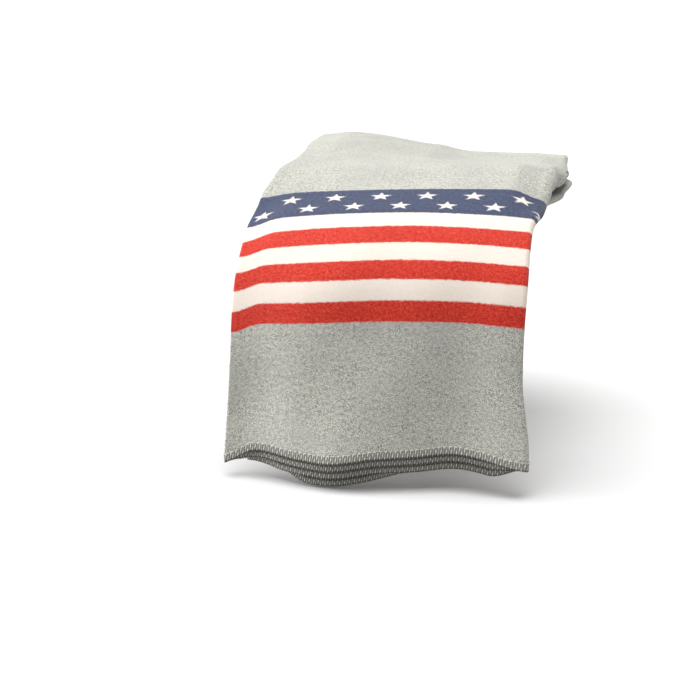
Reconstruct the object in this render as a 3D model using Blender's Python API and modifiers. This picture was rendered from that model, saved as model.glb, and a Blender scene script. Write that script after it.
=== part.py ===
"""A camp blanket of woven wool blend, folded in four across its width and laid over the edge of a stack.

The blanket is one rectangle of cloth with a bead of overlocked thread along each of its four edges. It
is folded twice along its length into a strip of four layers. The strip's front end hangs as a flap, bends
over the crest and climbs a slope, and the rest lies behind it as four runs, folded to and fro like a
fan. Cloth can't bend as one rigid solid, so it is divided at its folds into panels, each of them a solid.

Two coordinates place every point: v runs across the blanket's width, from one long edge to the other,
and s runs along its length, from the front hem to the far hem. The section turns v into x and a height
within the strip, and the path turns s into y and z. +X is the viewer's right, +Y is to the rear, +Z is
up, and the origin is the middle of the bottom run's underside, which lies on the stack.
"""

import math

import bmesh
import bpy
from mathutils import Vector

# Driving dimensions, in metres unless the name says degrees.
BLANKET_WIDTH = 1.524
BLANKET_LENGTH = 2.032
CLOTH = 0.0024  # thickness
LAYER_PITCH = 0.0036  # from one layer of the strip to the next
RUN_PITCH = 0.016  # from one run of the bundle to the next
THIRD_LAYER_SHORT = 0.025  # how far this layer's long edge stops short of the left fold
FOURTH_LAYER_SHORT = 0.085
BEAD = 0.0024  # diameter of the overlocked thread along an edge
GAP = 0.0003  # clearance between solids that touch

FLAP_LENGTH = 0.225
FLAP_LEAN_DEG = 11.0  # the hem hangs this much forward of the crest
CREST_LENGTH = 0.15
CREST_TURN_DEG = 62.0
SLOPE_LENGTH = 0.13
BROW_LENGTH = 0.09  # where the slope eases into the level top run
RUNS = 4
LOWER_RUN_REACH = 0.02  # how far the runs under the top run start in front of it
BOTTOM_RUN_REACH = 0.10  # how far the bottom run reaches in front of the other lower runs

FOLD_MARGIN = 0.004  # straight cloth at each end of a fold's panel
FOLD_STEP_DEG = 30.0
STEP_LENGTH = 0.02
HALF_TURN = math.pi

# The strip's section: layer 4, right fold, layer 1, left fold, layer 2, inner right fold, layer 3.
STRIP_HALF_HEIGHT = 1.5 * LAYER_PITCH
OUTER_FOLD = HALF_TURN * STRIP_HALF_HEIGHT
INNER_FOLD = HALF_TURN * LAYER_PITCH / 2
LAYER_WIDTH = (
    BLANKET_WIDTH + THIRD_LAYER_SHORT + FOURTH_LAYER_SHORT - OUTER_FOLD - 2 * INNER_FOLD
) / 4
SECTION = [
    (LAYER_WIDTH - FOURTH_LAYER_SHORT, 0.0),
    (OUTER_FOLD, HALF_TURN),
    (LAYER_WIDTH, 0.0),
    (INNER_FOLD, HALF_TURN),
    (LAYER_WIDTH, 0.0),
    (INNER_FOLD, -HALF_TURN),
    (LAYER_WIDTH - THIRD_LAYER_SHORT, 0.0),
]
SECTION_START = (FOURTH_LAYER_SHORT - LAYER_WIDTH / 2, -STRIP_HALF_HEIGHT)

# The strip's path, panel by panel, from the front hem. Each panel is a list of (length, turn).
CREST_TURN = math.radians(CREST_TURN_DEG)
BROW_TURN = math.radians(90.0 - FLAP_LEAN_DEG - CREST_TURN_DEG)
RUN_FOLD = HALF_TURN * RUN_PITCH / 2
TOP_RUN = (
    BLANKET_LENGTH
    - FLAP_LENGTH
    - CREST_LENGTH
    - SLOPE_LENGTH
    - BROW_LENGTH
    - (RUNS - 1) * (RUN_FOLD + LOWER_RUN_REACH)
    - BOTTOM_RUN_REACH
) / RUNS
LOWER_RUN = TOP_RUN + LOWER_RUN_REACH
MARGIN = (FOLD_MARGIN, 0.0)
PANELS = {
    "front_flap": [(FLAP_LENGTH, 0.0)],
    "crest": [(CREST_LENGTH, -CREST_TURN)],
    "front_slope": [(SLOPE_LENGTH, 0.0), (BROW_LENGTH, -BROW_TURN)],
    "top_run": [(TOP_RUN - FOLD_MARGIN, 0.0)],
    "upper_rear_fold": [MARGIN, (RUN_FOLD, -HALF_TURN), MARGIN],
    "second_run": [(LOWER_RUN - 2 * FOLD_MARGIN, 0.0)],
    "front_fold": [MARGIN, (RUN_FOLD, HALF_TURN), MARGIN],
    "third_run": [(LOWER_RUN - 2 * FOLD_MARGIN, 0.0)],
    "lower_rear_fold": [MARGIN, (RUN_FOLD, -HALF_TURN), MARGIN],
    "bottom_run": [(LOWER_RUN + BOTTOM_RUN_REACH - FOLD_MARGIN, 0.0)],
}
PATH = [piece for pieces in PANELS.values() for piece in pieces]
PATH_HEADING = math.radians(90.0 - FLAP_LEAN_DEG)

# What turns on each joint's axis. Everything else lies still.
FLAP_PANELS = ("front_flap",)
TOP_PANELS = ("crest", "front_slope", "top_run")

CLOTH_COLOUR = (0.60, 0.60, 0.57, 1.0)
THREAD_COLOUR = (0.50, 0.49, 0.46, 1.0)
ROUGHNESS = 0.95


def walk(pieces, start, heading, distance):
    """The point and heading at a distance along a line of straight and curved pieces."""
    across, up = start
    for length, turn in pieces:
        step = min(distance, length)
        bend = turn / length
        if bend:
            across += (math.sin(heading + bend * step) - math.sin(heading)) / bend
            up += (math.cos(heading) - math.cos(heading + bend * step)) / bend
        else:
            across += math.cos(heading) * step
            up += math.sin(heading) * step
        heading += bend * step
        distance -= step
    return across, up, heading


def stations(pieces, low, high):
    """The distances between low and high at which a line along the pieces needs a point."""
    found, reached = [low, high], 0.0
    for length, turn in pieces:
        steps = 1
        if turn:
            steps = math.ceil(abs(turn) / math.radians(FOLD_STEP_DEG) - 1e-6)
            steps = max(steps, math.ceil(length / STEP_LENGTH))
        found += [reached + length * i / steps for i in range(steps + 1)]
        reached += length
    return sorted({round(d, 7) for d in found if low <= d <= high})


def path_length(pieces):
    return sum(length for length, turn in pieces)


def path_start():
    """Where the front hem is, in y and z, so that the bottom run's underside is centred on the origin."""
    middle = BLANKET_LENGTH - PANELS["bottom_run"][0][0] / 2
    y, z, _ = walk(PATH, (0.0, 0.0), PATH_HEADING, middle)
    return -y, STRIP_HALF_HEIGHT + CLOTH / 2 - z


PATH_START = path_start()


def point(v, s):
    """Where the cloth's own point (v, s) is in the folded blanket."""
    x, height, _ = walk(SECTION, SECTION_START, 0.0, v)
    y, z, heading = walk(PATH, PATH_START, PATH_HEADING, s)
    return Vector((x, y - height * math.sin(heading), z + height * math.cos(heading)))


def crest_axis():
    """The line that the flap turns about: there, straightening the crest keeps the cloth's length."""
    radius = CREST_LENGTH / CREST_TURN
    y, z, heading = walk(PATH, PATH_START, PATH_HEADING, FLAP_LENGTH + CREST_LENGTH / 2)
    outward = radius * (CREST_TURN / 2 / math.sin(CREST_TURN / 2) - 1)
    return Vector((0.0, y - outward * math.sin(heading), z + outward * math.cos(heading)))


def rear_axis():
    """The line that the top run turns about: it lies in the outermost layer of the upper rear fold."""
    s = path_length(PATH[:6])
    y, z, _ = walk(PATH, PATH_START, PATH_HEADING, s)
    return Vector((0.0, y + RUN_PITCH / 2 + STRIP_HALF_HEIGHT, z - RUN_PITCH / 2))


def material(name, colour):
    made = bpy.data.materials.new(name)
    made.use_nodes = True
    shader = made.node_tree.nodes["Principled BSDF"]
    shader.inputs["Base Color"].default_value = colour
    shader.inputs["Roughness"].default_value = ROUGHNESS
    shader.inputs["Metallic"].default_value = 0.0
    return made


def place(name, data, look, collection, pivot):
    """Adds an object whose own origin is on its pivot, an empty on the axis that it turns about."""
    data.materials.append(look)
    made = bpy.data.objects.new(name, data)
    made.parent = pivot
    collection.objects.link(made)
    return made


def cloth_panel(name, low, high, origin, look, collection, pivot):
    """All four layers of the strip between two distances along it: one sheet with Solidify."""
    across = stations(SECTION, BEAD + GAP, BLANKET_WIDTH - BEAD - GAP)
    along = stations(PATH, low, high)
    grid = bmesh.new()
    columns, rows = len(across) - 1, len(along) - 1
    bmesh.ops.create_grid(grid, x_segments=columns, y_segments=rows, size=0.5)
    for vertex in grid.verts:
        v = across[round((vertex.co.x + 0.5) * columns)]
        s = along[round((vertex.co.y + 0.5) * rows)]
        vertex.co = point(v, s) - origin
    mesh = bpy.data.meshes.new(name)
    grid.to_mesh(mesh)
    grid.free()
    mesh.shade_smooth()
    mesh.set_sharp_from_angle(angle=math.radians(35.0))
    panel = place(name, mesh, look, collection, pivot)
    shell = panel.modifiers.new("thickness", "SOLIDIFY")
    shell.thickness = CLOTH
    shell.offset = 0.0
    shell.use_even_offset = True


def bead(name, points, look, collection, pivot):
    """A bead of overlocked thread along a line of points."""
    line = bpy.data.curves.new(name, "CURVE")
    line.dimensions = "3D"
    line.bevel_depth = BEAD / 2
    line.bevel_resolution = 2
    line.use_fill_caps = True
    spline = line.splines.new("POLY")
    spline.points.add(len(points) - 1)
    for place_on_line, where in zip(spline.points, points):
        place_on_line.co = (*where, 1.0)
    place(name, line, look, collection, pivot)


def pivot_empty(name, origin, parent, parent_origin, collection):
    empty = bpy.data.objects.new(name, None)
    empty.parent = parent
    empty.location = origin - parent_origin
    collection.objects.link(empty)
    return empty


def build():
    for old in list(bpy.data.objects):
        bpy.data.objects.remove(old)
    collection = bpy.data.collections.new("camp_blanket")
    bpy.context.scene.collection.children.link(collection)
    wool = material("heather_wool", CLOTH_COLOUR)
    thread = material("overlock_thread", THREAD_COLOUR)

    still = Vector((0.0, 0.0, 0.0))
    top_pivot = pivot_empty("top_run_axis", rear_axis(), None, still, collection)
    flap_pivot = pivot_empty(
        "front_flap_axis", crest_axis(), top_pivot, rear_axis(), collection
    )

    reached = 0.0
    for name, pieces in PANELS.items():
        low, high = reached + GAP / 2, reached + path_length(pieces) - GAP / 2
        reached += path_length(pieces)
        low = max(low, BEAD + GAP)
        high = min(high, BLANKET_LENGTH - BEAD - GAP)
        pivot, origin = None, still
        if name in FLAP_PANELS:
            pivot, origin = flap_pivot, crest_axis()
        elif name in TOP_PANELS:
            pivot, origin = top_pivot, rear_axis()
        cloth_panel(name, low, high, origin, wool, collection, pivot)
        along = stations(PATH, low, high)
        for side, v in (("fourth", BEAD / 2), ("third", BLANKET_WIDTH - BEAD / 2)):
            line = [point(v, s) - origin for s in along]
            bead(f"{side}_layer_edge.{name}", line, thread, collection, pivot)

    across = stations(SECTION, 0.0, BLANKET_WIDTH)
    front_line = [point(v, BEAD / 2) - crest_axis() for v in across]
    far_line = [point(v, BLANKET_LENGTH - BEAD / 2) for v in across]
    bead("front_hem", front_line, thread, collection, flap_pivot)
    bead("far_hem", far_line, thread, collection, None)


build()
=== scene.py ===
"""The looks of a camp blanket folded in four, laid over a stack and left hanging at the front.

The blanket is one sheet, drawn in five meshes: the base, the front, and the upper rear fold between
them in three strips. Each mesh crosses one joint at most. Every point of the sheet has two
coordinates, as in the CAD: v across the blanket's width, from one long edge to the other, and s along
its length, from the front hem. The section turns v into x and a height n within the strip, the path
turns s and n into y and z, and a few soft fields then sag, ripple and lift the cloth. The overlock
stitches are threads laid over the edges of the same surface.
"""

import math

import bpy
import numpy as np
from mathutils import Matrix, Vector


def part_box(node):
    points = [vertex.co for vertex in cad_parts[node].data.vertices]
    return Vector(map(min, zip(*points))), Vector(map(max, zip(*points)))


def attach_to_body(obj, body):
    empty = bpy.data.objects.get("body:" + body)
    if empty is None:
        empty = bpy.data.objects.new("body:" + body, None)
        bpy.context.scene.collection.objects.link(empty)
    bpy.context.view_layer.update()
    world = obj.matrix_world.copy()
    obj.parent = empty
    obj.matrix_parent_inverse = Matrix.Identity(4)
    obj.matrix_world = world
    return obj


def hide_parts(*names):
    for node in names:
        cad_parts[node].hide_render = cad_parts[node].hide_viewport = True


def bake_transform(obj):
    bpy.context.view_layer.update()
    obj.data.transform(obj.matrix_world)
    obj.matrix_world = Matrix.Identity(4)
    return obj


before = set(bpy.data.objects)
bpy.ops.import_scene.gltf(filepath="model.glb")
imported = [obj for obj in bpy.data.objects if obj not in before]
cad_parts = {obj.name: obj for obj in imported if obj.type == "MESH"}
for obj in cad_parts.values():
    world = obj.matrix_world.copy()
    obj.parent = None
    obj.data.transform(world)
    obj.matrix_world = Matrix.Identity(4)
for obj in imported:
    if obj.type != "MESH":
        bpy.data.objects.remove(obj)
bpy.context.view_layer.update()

# ------------------------------------------------------------ the folded blanket's own dimensions
BLANKET_WIDTH = 1.524
BLANKET_LENGTH = 2.032
CLOTH = 0.0024
LAYER_PITCH = 0.0036
RUN_PITCH = 0.016
THIRD_LAYER_SHORT = 0.025
FOURTH_LAYER_SHORT = 0.085
FLAP_LENGTH = 0.225
FLAP_LEAN = math.radians(11.0)
CREST_LENGTH = 0.15
CREST_TURN = math.radians(62.0)
SLOPE_LENGTH = 0.13
BROW_LENGTH = 0.09
RUNS = 4
LOWER_RUN_REACH = 0.02
BOTTOM_RUN_REACH = 0.10
BOTTOM_RUN_MARGIN = 0.004  # the path's last straight starts this far behind the CAD's bottom_run
SEAM_FROM_FOLD = 0.03  # the sheet is cut into meshes this far before and after the upper rear fold

HALF_HEIGHT = 1.5 * LAYER_PITCH
OUTER_FOLD = math.pi * HALF_HEIGHT
INNER_FOLD = math.pi * LAYER_PITCH / 2
LAYER_WIDTH = (
    BLANKET_WIDTH + THIRD_LAYER_SHORT + FOURTH_LAYER_SHORT - OUTER_FOLD - 2 * INNER_FOLD
) / 4
SECTION = [
    (LAYER_WIDTH - FOURTH_LAYER_SHORT, 0.0),
    (OUTER_FOLD, math.pi),
    (LAYER_WIDTH, 0.0),
    (INNER_FOLD, math.pi),
    (LAYER_WIDTH, 0.0),
    (INNER_FOLD, -math.pi),
    (LAYER_WIDTH - THIRD_LAYER_SHORT, 0.0),
]
SECTION_START = (FOURTH_LAYER_SHORT - LAYER_WIDTH / 2, -HALF_HEIGHT)

BROW_TURN = math.pi / 2 - FLAP_LEAN - CREST_TURN
RUN_FOLD = math.pi * RUN_PITCH / 2
FRONT_LENGTH = FLAP_LENGTH + CREST_LENGTH + SLOPE_LENGTH + BROW_LENGTH
LOWER_LENGTH = (RUNS - 1) * (RUN_FOLD + LOWER_RUN_REACH) + BOTTOM_RUN_REACH
TOP_RUN = (BLANKET_LENGTH - FRONT_LENGTH - LOWER_LENGTH) / RUNS
LOWER_RUN = TOP_RUN + LOWER_RUN_REACH
PATH = [
    (FLAP_LENGTH, 0.0),
    (CREST_LENGTH, -CREST_TURN),
    (SLOPE_LENGTH, 0.0),
    (BROW_LENGTH, -BROW_TURN),
    (TOP_RUN, 0.0),
    (RUN_FOLD, -math.pi),
    (LOWER_RUN, 0.0),
    (RUN_FOLD, math.pi),
    (LOWER_RUN, 0.0),
    (RUN_FOLD, -math.pi),
    (LOWER_RUN + BOTTOM_RUN_REACH, 0.0),
]
PATH_HEADING = math.pi / 2 - FLAP_LEAN

S_FOLD = FRONT_LENGTH + TOP_RUN
S_TOP_SEAM = S_FOLD - SEAM_FROM_FOLD
S_LOWER_SEAM = S_FOLD + RUN_FOLD + SEAM_FROM_FOLD


def smooth(low, high, x):
    """0 below low, 1 above high and an even S between them."""
    t = np.clip((x - low) / (high - low), 0.0, 1.0)
    return t * t * (3.0 - 2.0 * t)


def hump(centre, width, x):
    """A bell curve, 1 at its centre."""
    return np.exp(-(((x - centre) / width) ** 2))


def walk(pieces, start, heading, distance):
    """Points and headings at an array of distances along straight and curved pieces."""
    distance = np.asarray(distance, float)
    across = np.full(distance.shape, start[0])
    up = np.full(distance.shape, start[1])
    reached = 0.0
    for i, (length, turn) in enumerate(pieces):
        low = -1.0 if i == 0 else 0.0
        high = length + 1.0 if i == len(pieces) - 1 else length
        step = np.clip(distance - reached, low, high)
        bend = turn / length
        if bend:
            across = across + (np.sin(heading + bend * step) - np.sin(heading)) / bend
            up = up + (np.cos(heading) - np.cos(heading + bend * step)) / bend
        else:
            across = across + np.cos(heading) * step
            up = up + np.sin(heading) * step
        heading = heading + bend * step
        reached += length
    return across, up, heading


def path_start():
    """Where the front hem is in y and z, found from where the CAD's bottom run lies."""
    low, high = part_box("bottom_run")
    fold_end = sum(length for length, turn in PATH[:-1])
    y, z, _ = walk(PATH, (0.0, 0.0), PATH_HEADING, fold_end)
    return high.y + BOTTOM_RUN_MARGIN - float(y), (low.z + high.z) / 2 - float(z)


PATH_START = path_start()
STRIP_HALF = LAYER_WIDTH / 2
FOLD_Y, FOLD_TOP_Z, _ = (float(a) for a in walk(PATH, PATH_START, PATH_HEADING, S_FOLD))
FOLD_Z = FOLD_TOP_Z - RUN_PITCH / 2

# ------------------------------------------------------------ how the cloth sags, ripples and lifts
# These numbers are set for this one arrangement of the blanket.
HEM_RISE = 0.025  # the outermost layer's hem ends this much above the CAD's
HEM_STEP = 0.0102  # and each layer under it hangs about this much lower
LEFT_CORNER_DROP = 0.0090  # the outermost layer's hem falls this much at its left corner
# The upper rear fold isn't level: it runs through these heights, from its left end to its right.
LINE_AT = (-1.03 * STRIP_HALF, -0.10 * STRIP_HALF, 0.24 * STRIP_HALF, 1.03 * STRIP_HALF)
LINE_RISE = (0.0125, -0.0005, -0.0115, -0.0150)
HALF_GAP = 0.0014  # half the gap between the top run and the second


def fold_line(x):
    """How much higher the rear fold is at x than in the CAD, with its two bends rounded off."""
    near = (-0.014, -0.007, 0.0, 0.007, 0.014)
    return sum(np.interp(x + d, LINE_AT, LINE_RISE) for d in near) / len(near)


def eased(at, values, s):
    """Values at distances along the blanket, with an even S between each two."""
    i = np.clip(np.searchsorted(at, s) - 1, 0, len(at) - 2)
    at, values = np.array(at), np.array(values)
    share = smooth(0.0, 1.0, (s - at[i]) / (at[i + 1] - at[i]))
    return values[i] + (values[i + 1] - values[i]) * share


# How far the right fold stands out of line at these distances along the blanket: the top run's
# loop and the bottom run's fold stand out, and the two runs between them end further in.
RIGHT_AT = (
    *(0.00, 0.33, 0.42, 0.50, 0.60, 0.66, 0.80, S_FOLD),
    *(0.95, 1.01, 1.54, 1.59, 1.66, 1.82, 1.94),
)
RIGHT_OUT = (
    *(0, 0, 0.003, 0.005, 0.005, 0.006, 0.007, 0.007),
    *(0.000, -0.038, -0.038, -0.004, 0.018, 0.017, 0),
)
# How much lower the fourth layer hangs there than the first, which opens the fold into a loop.
LOOP_AT = (0.00, 0.33, 0.42, 0.50, 0.60, 0.67, 0.77, 0.82, 0.862)
LOOP_DROP = (0, 0, 0.008, 0.013, 0.018, 0.027, 0.025, 0.010, 0)
# How far the left folds are pulled in.
LEFT_AT = (0.00, 0.36, 0.44, 0.50, 0.57, 0.66, 0.80, S_FOLD, 0.95)
LEFT_IN = (0, 0, 0.004, 0.013, 0.019, 0.017, 0.008, 0.003, 0)


def fold_swell(x, n, s):
    """Soft folds are fuller than the CAD's, and don't lie in one line."""
    right = smooth(STRIP_HALF - 0.05, STRIP_HALF, x)
    left = smooth(-STRIP_HALF + 0.03, -STRIP_HALF, x)
    hem = hump(0.0, 0.050, s) * (0.95 + 0.45 * np.cos(7.0 * x / STRIP_HALF + 0.6))
    n = n * (1.0 + left * 0.12 * (s < S_FOLD) + hem)
    loop = smooth(STRIP_HALF - 0.035, STRIP_HALF + 0.004, x) * eased(LOOP_AT, LOOP_DROP, s)
    wide = 1.0 + loop / (2.0 * HALF_HEIGHT)
    n = HALF_HEIGHT - (HALF_HEIGHT - n) * wide
    over = np.maximum(x - STRIP_HALF, 0.0) * (wide - 1.0)
    out = smooth(STRIP_HALF - 0.12, STRIP_HALF + 0.003, x) * eased(RIGHT_AT, RIGHT_OUT, s)
    inward = (1.0 - smooth(-STRIP_HALF, -STRIP_HALF + 0.12, x)) * eased(LEFT_AT, LEFT_IN, s)
    uneven = right * 0.0012 * np.sin(s * 31.0) - left * 0.0012 * np.sin(s * 27.0 + 1.0)
    return x + over + out + inward + uneven, n


def hem_slip(x, n, s):
    """Inner layers go a shorter way over the crest, so they hang lower than the outer one."""
    u = x / STRIP_HALF
    joined = 1.0 - smooth(0.76, 1.0, u)
    first = LEFT_CORNER_DROP * smooth(-0.80, -0.99, u)
    second = np.where(
        u < 0.0, first + (HEM_STEP - first) * smooth(-1.0, -0.90, u), HEM_STEP * joined
    )
    third = 2.0 * HEM_STEP * smooth(-1.30, -0.60, u) * joined
    fourth = third + HEM_STEP * smooth(-0.60, -0.43, u) * (1.0 - smooth(-0.05, 0.30, u))
    layer = np.clip((HALF_HEIGHT - n) / LAYER_PITCH, 0.0, 3.0)
    lower = first + (second - first) * np.clip(layer, 0.0, 1.0)
    lower = lower + (third - second) * np.clip(layer - 1.0, 0.0, 1.0)
    lower = lower + (fourth - third) * np.clip(layer - 2.0, 0.0, 1.0)
    lower = np.where(u > 1.0, 0.0, np.where(u < -1.0, first, lower))
    return (HEM_RISE - lower) * (1.0 - smooth(0.20, 0.62, s))


def hang(x, s):
    """How the hanging front sags and ripples: forward and down, in metres."""
    u = x / STRIP_HALF
    # The sides droop, and the crest and the slope are fuller than in the CAD.
    sag = 0.0037 - 0.0083 * u + 0.0112 * u * u
    sag = sag * (1.0 - smooth(0.33, 0.53, s))
    full = smooth(0.305, 0.388, s) * (1.0 - smooth(0.50, 0.62, s))
    sag = sag - 0.0095 * full - 0.005 * u * smooth(0.36, 0.45, s) * full
    round_right = smooth(0.80, 1.03, u) * smooth(0.36, 0.45, s) * (1.0 - smooth(0.57, 0.62, s))
    corner = 0.006 * smooth(0.72, 1.0, -u) * hump(0.38, 0.08, s) + 0.014 * round_right
    # The flap leans back at its sides, its hem waves, and the whole of it ripples a little.
    back = 0.024 * smooth(0.45, 1.05, -u) + 0.003 * smooth(0.84, 1.03, u)
    back = back - 0.009 * hump(-0.22, 0.50, u) + 0.004 * hump(0.60, 0.26, u)
    back = back * (1.0 - smooth(0.24, 0.38, s))
    wave = 0.009 * hump(-0.25, 0.22, u) - 0.011 * hump(-0.80, 0.20, u)
    wave = wave - 0.008 * hump(0.57, 0.20, u) + 0.007 * smooth(0.72, 1.0, u)
    wave = wave * (1.0 - smooth(0.0, 0.20, s))
    ripple = 0.0022 * np.sin(21.0 * x + 0.8) * np.sin(13.0 * s + 0.4)
    ripple = ripple + 0.0012 * np.sin(47.0 * x - 16.0 * s + 2.0)
    ripple = ripple * (1.0 - smooth(0.30, 0.45, s))
    return 1.2 * wave + ripple - back, sag + corner + 0.7 * wave


def settle(x, y, z):
    """How the bundle lies: its left rear stands higher than its right, with a dip between them."""
    u = x / STRIP_HALF
    ramp = smooth(-0.13, 0.14, y)
    line = fold_line(x)
    lift = line + 0.009 * smooth(-1.04, -0.72, u) * (1.0 - smooth(-0.62, 0.0, u))
    lift = lift + 0.0025 * hump(0.02, 0.09, u) + 0.0012 * hump(0.75, 0.12, u)
    lift = lift - 0.005 * smooth(0.86, 1.03, u) * (1.0 - smooth(0.14, 0.19, y))
    ripple = 0.0008 * np.sin(34.0 * x + 19.0 * y) + 0.0006 * np.sin(61.0 * y - 23.0 * x)
    lift = lift + (ripple + 0.0004) * (1.0 - smooth(0.14, 0.19, y))
    below, above = FOLD_Z - HALF_GAP, FOLD_Z + HALF_GAP
    lower = z * (1.0 + line / below * ramp)
    upper = z + lift * ramp
    share = smooth(below, above, z)
    return lower + (upper - lower) * share


def place(v, s):
    """Where the sheet's middle surface is, at arrays of v and s."""
    x, n, _ = walk(SECTION, SECTION_START, 0.0, v)
    flat_x = x
    x, wide_n = fold_swell(x, n, s)
    slid = s + hem_slip(flat_x, n, s)
    y, z, heading = walk(PATH, PATH_START, PATH_HEADING, slid)
    y = y - wide_n * np.sin(heading)
    z = z + wide_n * np.cos(heading)
    forward, down = hang(flat_x, slid)
    front = 1.0 - smooth(0.585, 0.62, slid)
    # The flap's sides flare out towards the hem.
    u = np.clip(flat_x / STRIP_HALF, -1.1, 1.1)
    flare = 0.012 * (1.0 - smooth(0.03, 0.14, slid)) - 0.003
    x = x + smooth(0.35, 1.0, u) * flare * (1.0 - smooth(0.30, 0.40, slid))
    x = x - 0.006 * smooth(0.5, 1.0, -u) * (1.0 - smooth(0.12, 0.36, slid))
    z = np.where(slid > FRONT_LENGTH - 0.14, settle(flat_x, y, z), z)
    return np.stack([x, y - forward * front, z - down * front], axis=-1)


def normals(v, s):
    """The middle surface's normals, on the side that faces out on the first and fourth layers."""
    step = 0.0004
    across = place(v + step, s) - place(v - step, s)
    along = place(v, s + step) - place(v, s - step)
    normal = np.cross(along, across)
    return normal / np.linalg.norm(normal, axis=-1, keepdims=True)


# ------------------------------------------------------------ materials
def rgb(red, green, blue):
    """A linear colour from an sRGB one of 0 to 255."""
    out = []
    for c in (red, green, blue):
        c = c / 255.0
        out.append(c / 12.92 if c <= 0.04045 else ((c + 0.055) / 1.055) ** 2.4)
    return (*out, 1.0)


class Graph:
    """Short names for the shader nodes that the materials use."""

    def __init__(self, name, roughness):
        self.material = bpy.data.materials.new(name)
        self.material.use_nodes = True
        self.tree = self.material.node_tree
        self.shader = self.tree.nodes["Principled BSDF"]
        self.shader.inputs["Roughness"].default_value = roughness
        self.shader.inputs["Metallic"].default_value = 0.0
        self.shader.inputs["Specular IOR Level"].default_value = 0.15

    def put(self, socket, value):
        if isinstance(value, bpy.types.NodeSocket):
            self.tree.links.new(value, socket)
        else:
            socket.default_value = value

    def math(self, operation, a, b=0.0):
        node = self.tree.nodes.new("ShaderNodeMath")
        node.operation = operation
        for socket, value in zip(node.inputs, (a, b)):
            self.put(socket, value)
        return node.outputs[0]

    def add(self, a, b):
        return self.math("ADD", a, b)

    def minus(self, a, b):
        return self.math("SUBTRACT", a, b)

    def times(self, a, b):
        return self.math("MULTIPLY", a, b)

    def rest(self, value):
        """What is left of 1."""
        return self.minus(1.0, value)

    def step(self, value, low, high):
        """0 below low, 1 above high."""
        node = self.tree.nodes.new("ShaderNodeMapRange")
        node.interpolation_type = "SMOOTHSTEP"
        self.put(node.inputs["Value"], value)
        node.inputs["From Min"].default_value = low
        node.inputs["From Max"].default_value = high
        return node.outputs[0]

    def mix(self, share, a, b):
        node = self.tree.nodes.new("ShaderNodeMix")
        node.data_type = "RGBA"
        self.put(node.inputs[0], share)
        self.put(node.inputs[6], a)
        self.put(node.inputs[7], b)
        return node.outputs[2]

    def noise(self, vector, scale, detail, roughness):
        node = self.tree.nodes.new("ShaderNodeTexNoise")
        self.put(node.inputs["Vector"], vector)
        node.inputs["Scale"].default_value = scale
        node.inputs["Detail"].default_value = detail
        node.inputs["Roughness"].default_value = roughness
        return node.outputs[0]

    def vector(self, x, y):
        node = self.tree.nodes.new("ShaderNodeCombineXYZ")
        for socket, value in zip(node.inputs, (x, y)):
            self.put(socket, value)
        return node.outputs[0]

    def cloth_coordinates(self):
        node = self.tree.nodes.new("ShaderNodeUVMap")
        node.uv_map = "cloth"
        split = self.tree.nodes.new("ShaderNodeSeparateXYZ")
        self.tree.links.new(node.outputs[0], split.inputs[0])
        return node.outputs[0], split.outputs[0], split.outputs[1]

    def bump(self, height, distance, strength):
        node = self.tree.nodes.new("ShaderNodeBump")
        node.inputs["Strength"].default_value = strength
        node.inputs["Distance"].default_value = distance
        self.put(node.inputs["Height"], height)
        self.tree.links.new(node.outputs[0], self.shader.inputs["Normal"])


BAND_START = 0.1850  # from the front hem to the first red stripe
STRIPE = 0.0285
STRIPES = 6
NAVY = 0.080
STAR_RADIUS = 0.0158
STAR_FLATTEN = 0.86  # the weave makes the stars this much shorter than they are wide
STAR_WAIST = 0.40  # a star's inner radius against its outer
STARS_ACROSS = 23
STAR_ROWS = ((0.0555, 0.0), (0.0225, 0.49))  # from the navy's lower edge; the shift is in pitches
STAR_SHIFT = 0.168  # moves both rows along the band, in pitches
STAR_SOFT = 0.0010
FRAY, DRIFT = 0.0085, 0.0030  # how far fine and coarse noise move the edges of the colours
YARN_SOFT = 0.0006  # half the width over which one yarn's colour gives way to the next
FIBRE_LONG, FIBRE_THIN = 420.0, 1500.0  # how often fibres repeat, along them and across them
LONG_FIBRE_RANGE = (0.55, 0.66)
# Distances in from an edge of the sheet over which a look begins or ends; most of these looks are
# painted shade.
EDGE_SHADE_ENDS, TURN_SHADE_ENDS = (0.0008, 0.0026), (0.0002, 0.0020)
STITCHES_END = (0.0085, 0.0115)
SHADE_BEGINS, SHADE_ENDS = (0.0060, 0.0085), (0.014, 0.026)
TWIST_ACROSS, TWIST_ALONG = 900.0, 700.0  # radians of the thread's twist per metre

RED = rgb(150, 14, 9)
WHITE = rgb(211, 202, 194)
BLUE = rgb(22, 31, 58)
PALE_RED, DEEP_RED = rgb(222, 85, 62), rgb(172, 30, 24)
CREAM = rgb(200, 188, 177)
PALE_BLUE = rgb(94, 103, 128)
MARL_DARK, MARL_LIGHT = rgb(80, 82, 81), rgb(197, 196, 186)
BLOTCH, LONG_FIBRE = rgb(168, 168, 160), rgb(212, 210, 200)
CLOUD, WARM = rgb(126, 128, 124), rgb(166, 160, 142)
# Painted shade: darker wool under the stitches (partly the dense under-thread), under an upper
# layer's hem and along every cut edge.
UNDER_THREAD_AND_SHADE, SHADED_CLOTH, EDGE_SHADE = rgb(96, 96, 91), rgb(40, 40, 38), rgb(52, 52, 50)
THREAD_DARK, THREAD_LIGHT, THREAD_SPECK = rgb(158, 157, 150), rgb(226, 223, 212), rgb(96, 96, 92)
# Painted shade on the thread: under an upper layer's hem, and where it turns round the cloth's edge.
THREAD_SHADED, THREAD_TURN_SHADE = rgb(48, 48, 46), rgb(62, 62, 60)


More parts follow.
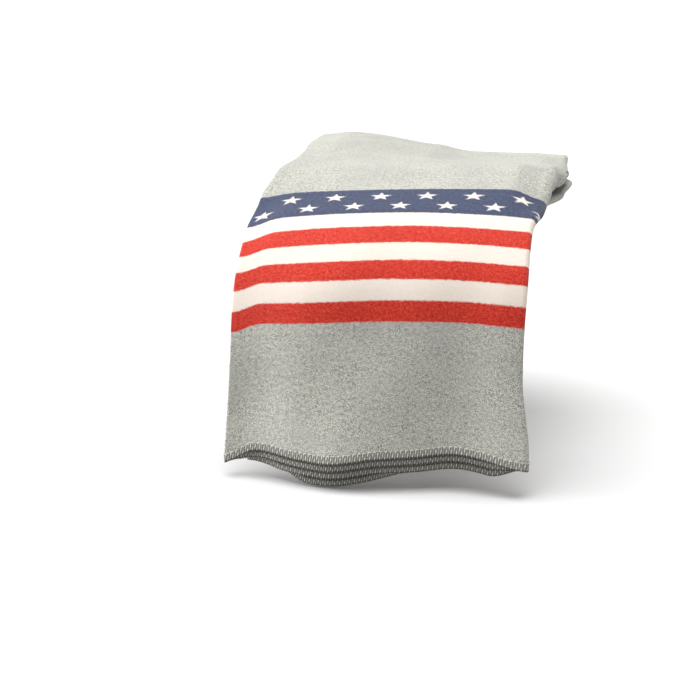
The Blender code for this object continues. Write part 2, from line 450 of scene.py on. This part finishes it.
def star(graph, across, along, centre, shift):
    """1 inside a row of five-pointed stars, each with one point up the flap."""
    pitch = BLANKET_WIDTH / STARS_ACROSS
    cell = graph.add(graph.math("DIVIDE", across, pitch), shift + STAR_SHIFT)
    x = graph.times(graph.minus(graph.math("FRACT", cell), 0.5), pitch)
    y = graph.math("DIVIDE", graph.minus(along, centre), STAR_FLATTEN)
    radius = graph.math("SQRT", graph.add(graph.times(x, x), graph.times(y, y)))
    angle = graph.math("ARCTAN2", x, y)
    sector = math.radians(72.0)
    # Half a sector puts the points in the middle of theirs, and ten whole ones keep this above 0.
    turn = graph.add(graph.math("DIVIDE", angle, sector), 10.5)
    turn = graph.minus(graph.math("FRACT", turn), 0.5)
    folded = graph.times(graph.math("ABSOLUTE", turn), sector)
    px = graph.times(radius, graph.math("COSINE", folded))
    py = graph.times(radius, graph.math("SINE", folded))
    waist_x = STAR_RADIUS * STAR_WAIST * math.cos(sector / 2)
    waist_y = STAR_RADIUS * STAR_WAIST * math.sin(sector / 2)
    edge = math.hypot(STAR_RADIUS - waist_x, waist_y)
    outside = graph.add(
        graph.times(graph.minus(px, STAR_RADIUS), waist_y / edge),
        graph.times(py, (STAR_RADIUS - waist_x) / edge),
    )
    return graph.rest(graph.step(outside, -STAR_SOFT, STAR_SOFT))


def under_layer(graph, across):
    """1 on the second to fourth layers, whose hems the layer over each one covers and shades."""
    first_low = LAYER_WIDTH - FOURTH_LAYER_SHORT + OUTER_FOLD / 2
    first_high = first_low + OUTER_FOLD / 2 + LAYER_WIDTH + INNER_FOLD / 2
    on_first = graph.times(
        graph.step(across, first_low - 0.002, first_low + 0.002),
        graph.rest(graph.step(across, first_high - 0.001, first_high + 0.001)),
    )
    return graph.rest(on_first)


def hem_shade(graph, across, along):
    """1 along the front hem of the layers that another layer shades, just in from the edge."""
    shade = graph.times(graph.step(along, *SHADE_BEGINS), under_layer(graph, across))
    return graph.times(shade, graph.rest(graph.step(along, *SHADE_ENDS)))


def from_edge(graph, across, along):
    """The distance to the nearest edge of the sheet."""
    to_hem = graph.math("MINIMUM", along, graph.minus(BLANKET_LENGTH, along))
    to_side = graph.math("MINIMUM", across, graph.minus(BLANKET_WIDTH, across))
    return graph.math("MINIMUM", to_hem, to_side)


def between(graph, t, low, high):
    """1 from low to high along the blanket, with a soft edge on both sides."""
    soft = YARN_SOFT
    return graph.times(
        graph.step(t, low - soft, low + soft), graph.rest(graph.step(t, high - soft, high + soft))
    )


def wool():
    """Felted wool: a heather of light and dark fibres, with the stripes and the stars woven in."""
    graph = Graph("heather_wool", 0.95)
    uv, across, along = graph.cloth_coordinates()
    fray = graph.times(graph.minus(graph.noise(uv, 900.0, 2.0, 0.6), 0.5), FRAY)
    drift = graph.times(graph.minus(graph.noise(uv, 160.0, 2.0, 0.5), 0.5), DRIFT)
    fray = graph.add(fray, drift)
    t = graph.add(along, fray)

    stripe = graph.math("DIVIDE", graph.minus(t, BAND_START), STRIPE)
    ramp = graph.math("PINGPONG", graph.minus(stripe, 0.5), 1.0)
    white = graph.step(ramp, 0.5 - YARN_SOFT / STRIPE, 0.5 + YARN_SOFT / STRIPE)
    navy_low = BAND_START + STRIPES * STRIPE
    in_band = between(graph, t, BAND_START, navy_low)
    in_navy = between(graph, t, navy_low, navy_low + NAVY)
    jog = graph.add(across, graph.times(fray, 0.8))
    stars = 0.0
    for height, shift in STAR_ROWS:
        row = star(graph, jog, t, navy_low + height, shift)
        stars = graph.math("MAXIMUM", stars, row)

    # The heather: blotches, tufts and single fibres, light and dark.
    blotch = graph.noise(uv, 38.0, 3.0, 0.55)
    tuft = graph.noise(uv, 210.0, 3.0, 0.6)
    grain = graph.noise(uv, 760.0, 3.0, 0.7)
    fibres = []
    for a, b in ((FIBRE_LONG, FIBRE_THIN), (FIBRE_THIN, FIBRE_LONG)):
        stretched = graph.vector(graph.times(across, a), graph.times(along, b))
        fibres.append(graph.times(graph.noise(stretched, 1.0, 2.0, 0.6), 0.5))
    fibre = graph.add(fibres[0], fibres[1])
    marl = graph.add(graph.times(grain, 0.50), graph.times(tuft, 0.16))
    marl = graph.add(marl, graph.times(fibre, 0.34))
    light = graph.mix(graph.step(marl, 0.43, 0.57), MARL_DARK, MARL_LIGHT)
    light = graph.mix(graph.times(graph.step(blotch, 0.35, 0.65), 0.25), light, BLOTCH)
    light = graph.mix(graph.times(graph.step(fibre, *LONG_FIBRE_RANGE), 0.40), light, LONG_FIBRE)
    cloud = graph.step(graph.noise(uv, 13.0, 2.0, 0.5), 0.35, 0.65)
    light = graph.mix(graph.times(cloud, 0.22), light, CLOUD)
    warm = graph.step(graph.noise(uv, 95.0, 2.0, 0.5), 0.50, 0.75)
    light = graph.mix(graph.times(warm, 0.22), light, WARM)
    edge = from_edge(graph, across, along)
    # Within the stitched band the wool is darker: partly the dense under-thread, partly painted shade
    # between the stitches.
    under_thread_and_shade = graph.rest(graph.step(edge, *STITCHES_END))
    light = graph.mix(graph.times(under_thread_and_shade, 0.60), light, UNDER_THREAD_AND_SHADE)
    shade = hem_shade(graph, across, along)
    light = graph.mix(graph.times(shade, 0.75), light, SHADED_CLOTH)
    # Painted shade: the wool darkens towards every edge of the sheet, over its last 2.6 mm.
    edge_shade = graph.rest(graph.step(edge, *EDGE_SHADE_ENDS))
    light = graph.mix(graph.times(edge_shade, 0.85), light, EDGE_SHADE)

    pale = graph.step(marl, 0.455, 0.565)
    red = graph.mix(graph.times(pale, 0.70), RED, PALE_RED)
    red = graph.mix(graph.times(graph.step(blotch, 0.40, 0.70), 0.25), red, DEEP_RED)
    cream = graph.mix(graph.times(pale, 0.75), CREAM, WHITE)
    navy = graph.mix(graph.times(pale, 0.55), BLUE, PALE_BLUE)
    navy = graph.mix(graph.times(stars, 0.90), navy, WHITE)
    banded = graph.mix(white, red, cream)
    colour = graph.mix(in_band, light, banded)
    colour = graph.mix(in_navy, colour, navy)
    graph.put(graph.shader.inputs["Base Color"], colour)
    graph.shader.inputs["Sheen Weight"].default_value = 0.15
    graph.shader.inputs["Sheen Roughness"].default_value = 0.5
    height = graph.add(graph.times(grain, 0.5), graph.times(tuft, 0.8))
    graph.bump(graph.add(height, graph.times(fibre, 0.6)), 0.0009, 0.9)
    return graph.material


def thread():
    """The overlock's thread: two plies of grey and off-white, twisted, and darkened by painted shade.
    """
    graph = Graph("overlock_thread", 0.9)
    uv, across, along = graph.cloth_coordinates()
    phase = graph.add(graph.times(across, TWIST_ACROSS), graph.times(along, TWIST_ALONG))
    twist = graph.math("SINE", phase)
    speck = graph.step(graph.noise(uv, 700.0, 2.0, 0.6), 0.50, 0.64)
    colour = graph.mix(graph.step(twist, -0.4, 0.6), THREAD_DARK, THREAD_LIGHT)
    colour = graph.mix(graph.times(speck, 0.5), colour, THREAD_SPECK)
    shade = hem_shade(graph, across, along)
    colour = graph.mix(graph.times(shade, 0.7), colour, THREAD_SHADED)
    # Painted shade: the thread darkens where it turns round the cloth's edge.
    turn = graph.rest(graph.step(from_edge(graph, across, along), *TURN_SHADE_ENDS))
    colour = graph.mix(graph.times(turn, 0.75), colour, THREAD_TURN_SHADE)
    graph.put(graph.shader.inputs["Base Color"], colour)
    graph.shader.inputs["Sheen Weight"].default_value = 0.2
    graph.bump(twist, 0.0003, 0.6)
    return graph.material


WOOL = wool()
THREAD = thread()


# ------------------------------------------------------------ meshes
def mesh_object(name, vertices, faces, uv, material, smooth_faces):
    """A mesh object whose UV map holds the cloth's own coordinates, in metres."""
    mesh = bpy.data.meshes.new(name)
    mesh.from_pydata(vertices.tolist(), [], [list(f) for f in faces])
    layer = mesh.uv_layers.new(name="cloth")
    corner = np.zeros(len(mesh.loops), np.int32)
    mesh.loops.foreach_get("vertex_index", corner)
    layer.data.foreach_set("uv", uv[corner].astype(np.float32).ravel())
    mesh.polygons.foreach_set("use_smooth", smooth_faces)
    mesh.materials.append(material)
    mesh.update()
    made = bpy.data.objects.new(name, mesh)
    bpy.context.scene.collection.objects.link(made)
    return made


SHARP_TURN = 2.0  # in radians; a part of the path that turns more than this is a fold
CLOSEST_ROWS = 0.00012
ACROSS_SPACING, ACROSS_FOLD_ROWS = 0.0065, 12


def stations(pieces, low, high, straight, fold, fine=()):
    """Distances at which the grid has a line: even on straights, closer on folds and edges."""
    found, reached = [low, high], 0.0
    for length, turn in pieces:
        count = max(1, math.ceil(length / straight))
        if abs(turn) > SHARP_TURN:
            count = fold
        found += [reached + length * i / count for i in range(count + 1)]
        reached += length
    found += list(fine)
    kept = []
    for d in sorted(d for d in found if low <= d <= high):
        if not kept or d - kept[-1] > CLOSEST_ROWS:
            kept.append(d)
    kept[-1] = high
    return np.array(kept)


EDGE_ROUND = (0.0, 0.0003, 0.0007, 0.0012, 0.0020)


def half_thickness(v, s):
    """Half the cloth's thickness: its cut edges are rounded."""
    inward = np.minimum(np.minimum(v, BLANKET_WIDTH - v), np.minimum(s, BLANKET_LENGTH - s))
    reach = np.clip(inward / (CLOTH / 2), 0.0, 1.0)
    return CLOTH / 2 * np.sqrt(np.clip(1.0 - (1.0 - reach) ** 2, 0.06, 1.0))


def across_at(x):
    """v where each of the four layers passes x, from the fourth layer to the third."""
    start = LAYER_WIDTH - FOURTH_LAYER_SHORT + OUTER_FOLD
    return (
        x - SECTION_START[0],
        start + STRIP_HALF - x,
        start + LAYER_WIDTH + INNER_FOLD + STRIP_HALF + x,
        start + 2 * (LAYER_WIDTH + INNER_FOLD) + STRIP_HALF - x,
    )


def cloth_piece(name, patches, low, high, straight, fold_rows, fine=()):
    """The sheet between two distances along it, in stretches across that are each closed."""
    ends = [BLANKET_WIDTH - e for e in EDGE_ROUND]
    hems = [*EDGE_ROUND, *(BLANKET_LENGTH - e for e in EDGE_ROUND)]
    along = stations(PATH, low, high, straight, fold_rows, [*hems, *fine])
    vertices, faces, uvs, facing, smooth_faces, used = [], [], [], [], [], 0
    for left, right in patches:
        across = stations(
            SECTION, left, right, ACROSS_SPACING, ACROSS_FOLD_ROWS, [*EDGE_ROUND, *ends]
        )
        s, v = np.meshgrid(along, across, indexing="ij")
        middle, normal = place(v, s), normals(v, s)
        half = half_thickness(v, s)[..., None]
        rows, columns = s.shape
        outer = (middle + normal * half).reshape(-1, 3)
        inner = (middle - normal * half).reshape(-1, 3)
        index = np.arange(rows * columns).reshape(rows, columns)
        a, b, c, d = index[:-1, :-1], index[:-1, 1:], index[1:, 1:], index[1:, :-1]
        sheet_faces = np.stack([a, d, c, b], axis=-1).reshape(-1, 4)
        patch = [sheet_faces, sheet_faces[:, ::-1] + rows * columns]
        for line in (index[0], index[-1][::-1], index[::-1, 0], index[:, -1]):
            under = line + rows * columns
            patch.append(np.stack([line[:-1], line[1:], under[1:], under[:-1]], axis=-1))
        faces.append(np.concatenate(patch) + used)
        vertices += [outer, inner]
        uvs += [np.stack([v.ravel(), s.ravel()], axis=-1)] * 2
        facing += [normal.reshape(-1, 3), -normal.reshape(-1, 3)]
        smooth_faces.append(np.ones(len(sheet_faces) * 2, bool))
        smooth_faces.append(np.zeros(sum(map(len, patch[2:])), bool))
        used += rows * columns * 2
    made = mesh_object(
        name,
        np.concatenate(vertices),
        np.concatenate(faces),
        np.concatenate(uvs),
        WOOL,
        np.concatenate(smooth_faces),
    )
    made.data.normals_split_custom_set_from_vertices(np.concatenate(facing).tolist())
    return made


STITCH_PITCH = 0.0033
STITCH_REACH = 0.0105
THREAD_RADIUS = 0.00048
RING = 6


def tubes(name, lines, radius, reference, uv):
    """Round threads along many lines of points at once, each closed at its ends."""
    count, points, _ = lines.shape
    gaps = lines[:, 1:] - lines[:, :-1]
    ahead = np.concatenate([gaps, gaps[:, -1:]], axis=1)
    behind = np.concatenate([gaps[:, :1], gaps], axis=1)
    tangent = ahead / np.linalg.norm(ahead, axis=-1, keepdims=True)
    tangent = tangent + behind / np.linalg.norm(behind, axis=-1, keepdims=True)
    tangent /= np.linalg.norm(tangent, axis=-1, keepdims=True) + 1e-9
    side = np.cross(tangent, reference)
    side /= np.linalg.norm(side, axis=-1, keepdims=True) + 1e-9
    up = np.cross(side, tangent)
    angle = np.arange(RING) * 2 * math.pi / RING
    ring = side[:, :, None] * np.cos(angle)[:, None] + up[:, :, None] * np.sin(angle)[:, None]
    vertices = (lines[:, :, None] + ring * radius).reshape(-1, 3)
    index = np.arange(count * points * RING).reshape(count, points, RING)
    turned = np.roll(index, -1, axis=2)
    walls = np.stack([index[:, :-1], turned[:, :-1], turned[:, 1:], index[:, 1:]], axis=-1)
    faces = walls.reshape(-1, 4).tolist()
    faces += index[:, 0, ::-1].tolist() + index[:, -1].tolist()
    smooth_faces = np.ones(len(faces), bool)
    uv = np.repeat(uv.reshape(-1, 2), RING, axis=0)
    return mesh_object(name, vertices, faces, uv, THREAD, smooth_faces)


def stitches(name, spots, edge):
    """Overlock stitches: each thread rises from under the edge, crosses it and comes back over.

    spots are distances along the edge, and edge(along, inward) gives the cloth's v and s there.
    """
    half = CLOTH / 2
    lift = half + THREAD_RADIUS * 0.45
    wrap = half * 0.75
    # (share of the pitch along the edge, distance in from the edge, height over the middle surface)
    shape = np.array(
        [
            (0.00, 1.00, half),
            (0.02, 0.97, lift),
            (0.10, 0.62, lift + 0.0003),
            (0.28, 0.25, lift + 0.0002),
            (0.40, 0.03, lift - 0.0001),
            (0.45, -0.05, wrap),
            (0.50, -0.08, 0.0),
            (0.55, -0.05, -wrap),
            (0.60, 0.03, -lift + 0.0001),
            (0.72, 0.25, -lift - 0.0002),
            (0.90, 0.62, -lift - 0.0003),
            (0.98, 0.97, -lift),
            (1.00, 1.00, -half),
        ]
    )
    wander = np.sin(spots * 977.0) * 0.35 + np.sin(spots * 2311.0) * 0.25
    reach = STITCH_REACH * (1.0 + 0.06 * wander)
    along = spots[:, None] + (shape[:, 0] - 0.5)[None, :] * STITCH_PITCH * 0.9
    inward = shape[:, 1][None, :] * reach[:, None]
    inward[:, 5:8] = shape[5:8, 1][None, :] * STITCH_REACH
    v, s = edge(along, inward)
    points = place(v, s) + normals(v, s) * shape[:, 2][None, :, None]
    reference = np.gradient(points, axis=0)
    return tubes(name, points, THREAD_RADIUS, reference, np.stack([v, s], axis=-1))


def chain(name, low, high, edge):
    """The line of loops that locks the stitches, on both faces of the cloth."""
    spots = np.arange(low, high, STITCH_PITCH / 4)
    phase = spots / STITCH_PITCH * 2 * math.pi
    inward = STITCH_REACH * (1.02 + 0.06 * np.cos(phase))
    lines, uvs = [], []
    v, s = edge(spots, inward)
    height = CLOTH / 2 + THREAD_RADIUS * (0.6 + 0.5 * np.sin(phase))
    for sign in (1.0, -1.0):
        lines.append(place(v, s) + normals(v, s) * (sign * height)[:, None])
        uvs.append(np.stack([v, s], axis=-1))
    lines, uvs = np.array(lines), np.array(uvs)
    reference = np.broadcast_to(normals(v, s), lines.shape)
    return tubes(name, lines, THREAD_RADIUS * 0.9, reference, uvs)


def front_edge(along, inward):
    return along, inward


def far_edge(along, inward):
    return along, BLANKET_LENGTH - inward


def fourth_edge(along, inward):
    return inward, along


def third_edge(along, inward):
    return BLANKET_WIDTH - inward, along


def edging(name, low, high, edge):
    """The stitches and their chain along one stretch of edge, as two pieces."""
    count = max(2, round((high - low) / STITCH_PITCH))
    spots = low + (np.arange(count) + 0.5) * (high - low) / count
    return [
        stitches(name + "_stitches", spots, edge),
        chain(name + "_chain", low, high, edge),
    ]


def crest_blend(piece):
    """Bakes the transform of a piece of the front into its mesh."""
    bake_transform(piece)


def fold_blend():
    """Gives the function that bakes the transform of each piece of one strip of the upper rear fold.
    """

    def attach(piece):
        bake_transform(piece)

    return attach


def edge_nodes(*panels):
    return [f"{side}_layer_edge.{p}" for p in panels for side in ("third", "fourth")]


CORNER = 0.012  # the long edges' stitches stop this far from the hems
HEM_INSET = 0.001  # and the hems' stitches this far from the long edges
WHOLE = [(0.0, BLANKET_WIDTH)]
FOLD_MIDDLE = S_FOLD + RUN_FOLD / 2
# Close rows where the rear fold changes over from the base to the top run.
CLOSE_ROWS = [FOLD_MIDDLE + 0.0003 * i for i in range(-16, 17)]
fourth_a, first_a, second_a, third_a = across_at(LINE_AT[1])
fourth_b, first_b, second_b, third_b = across_at(LINE_AT[2])
FOLD_STRIPS = {
    "left": [(0.0, fourth_a), (first_a, second_a), (third_a, BLANKET_WIDTH)],
    "middle": [(fourth_a, fourth_b), (first_b, first_a), (second_a, second_b), (third_b, third_a)],
    "right": [(fourth_b, first_b), (second_b, third_b)],
}


def long_edges(part, low, high, attach, panels):
    """The stitches along both long edges, which stand for those panels' edge nodes."""
    low, high = max(low, CORNER), min(high, BLANKET_LENGTH - CORNER)
    threads = edging(f"{part}_third_edge", low, high, third_edge)
    threads += edging(f"{part}_fourth_edge", low, high, fourth_edge)
    for piece in threads:
        attach(piece)
    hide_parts(*edge_nodes(*panels))
    return threads


def hem(node, edge, attach):
    """The stitches of one hem, which stand for that hem's node."""
    threads = edging(node, HEM_INSET, BLANKET_WIDTH - HEM_INSET, edge)
    for piece in threads:
        attach(piece)
    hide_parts(node)
    return threads


def finish_cloth(cloth, attach, panels):
    """Attaches one of the cloth's meshes with the given function and hides the CAD panels it
    replaces.
    """
    attach(cloth)
    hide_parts(*panels)


def ride_base(piece):
    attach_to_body(piece, "folded_base")


base_panels = ["second_run", "front_fold", "third_run", "lower_rear_fold", "bottom_run"]
base_cloth = cloth_piece("base_cloth", WHOLE, S_LOWER_SEAM, BLANKET_LENGTH, 0.009, 16)
base_threads = long_edges("base", S_LOWER_SEAM, BLANKET_LENGTH, ride_base, base_panels)
base_threads += hem("far_hem", far_edge, ride_base)
finish_cloth(base_cloth, ride_base, base_panels)

front_panels = ["front_flap", "crest", "front_slope", "top_run"]
front_cloth = cloth_piece("front_cloth", WHOLE, 0.0, S_TOP_SEAM, 0.006, 12)
front_threads = long_edges("front", 0.0, S_TOP_SEAM, crest_blend, front_panels)
front_threads += hem("front_hem", front_edge, crest_blend)
finish_cloth(
    front_cloth, crest_blend, front_panels
)

for strip, (side, patches) in enumerate(FOLD_STRIPS.items()):
    attach = fold_blend()
    cloth = cloth_piece(
        f"rear_fold_{side}_cloth", patches, S_TOP_SEAM, S_LOWER_SEAM, 0.005, 48, CLOSE_ROWS
    )
    threads = []
    if side == "left":
        threads = long_edges("rear_fold", S_TOP_SEAM, S_LOWER_SEAM, attach, ["upper_rear_fold"])
    finish_cloth(cloth, attach, ["upper_rear_fold"])

# ------------------------------------------------------------ floor, light and camera
FLOOR_Z = -0.3475
FLOOR_HALF = 80.0
FLOOR_GREY = (0.50, 0.50, 0.50, 1.0)


def floor():
    """A plain pale floor, just below the flap's lowest point."""
    mesh = bpy.data.meshes.new("floor")
    corners = [(-1, -1), (1, -1), (1, 1), (-1, 1)]
    places = [(x * FLOOR_HALF, y * FLOOR_HALF, FLOOR_Z) for x, y in corners]
    mesh.from_pydata(places, [], [(0, 1, 2, 3)])
    made_floor = bpy.data.objects.new("floor", mesh)
    bpy.context.scene.collection.objects.link(made_floor)
    paint = bpy.data.materials.new("floor_paint")
    paint.use_nodes = True
    shader = paint.node_tree.nodes["Principled BSDF"]
    shader.inputs["Base Color"].default_value = FLOOR_GREY
    shader.inputs["Roughness"].default_value = 0.9
    mesh.materials.append(paint)


def sun(name, aim, power, spread):
    """A large soft light from far away, along a direction."""
    light = bpy.data.lights.new(name, "SUN")
    light.energy = power
    light.angle = math.radians(spread)
    lamp = bpy.data.objects.new(name, light)
    bpy.context.scene.collection.objects.link(lamp)
    lamp.rotation_euler = Vector(aim).to_track_quat("-Z", "Y").to_euler()


floor()
sun("key", aim=(0.12, 0.0, -1.0), power=5.2, spread=60.0)
sun("left", aim=(1.0, -0.02, -0.20), power=4.6, spread=50.0)

world = bpy.data.worlds.new("studio")
bpy.context.scene.world = world
world.use_nodes = True
background = world.node_tree.nodes["Background"]
background.inputs["Color"].default_value = (1.0, 1.0, 1.0, 1.0)
background.inputs["Strength"].default_value = 0.36
bpy.context.scene.view_settings.view_transform = "Standard"

camera = bpy.data.cameras.new("camera")
camera.lens = 86.2
camera.sensor_width = 36.0
eye = bpy.data.objects.new("camera", camera)
eye.location = (0.399, -2.600, 0.339)
looks_down, looks_left = 12.62, 11.15  # in degrees
eye.rotation_euler = (math.radians(90.0 - looks_down), 0.0, math.radians(looks_left))
bpy.context.scene.collection.objects.link(eye)
bpy.context.scene.camera = eye
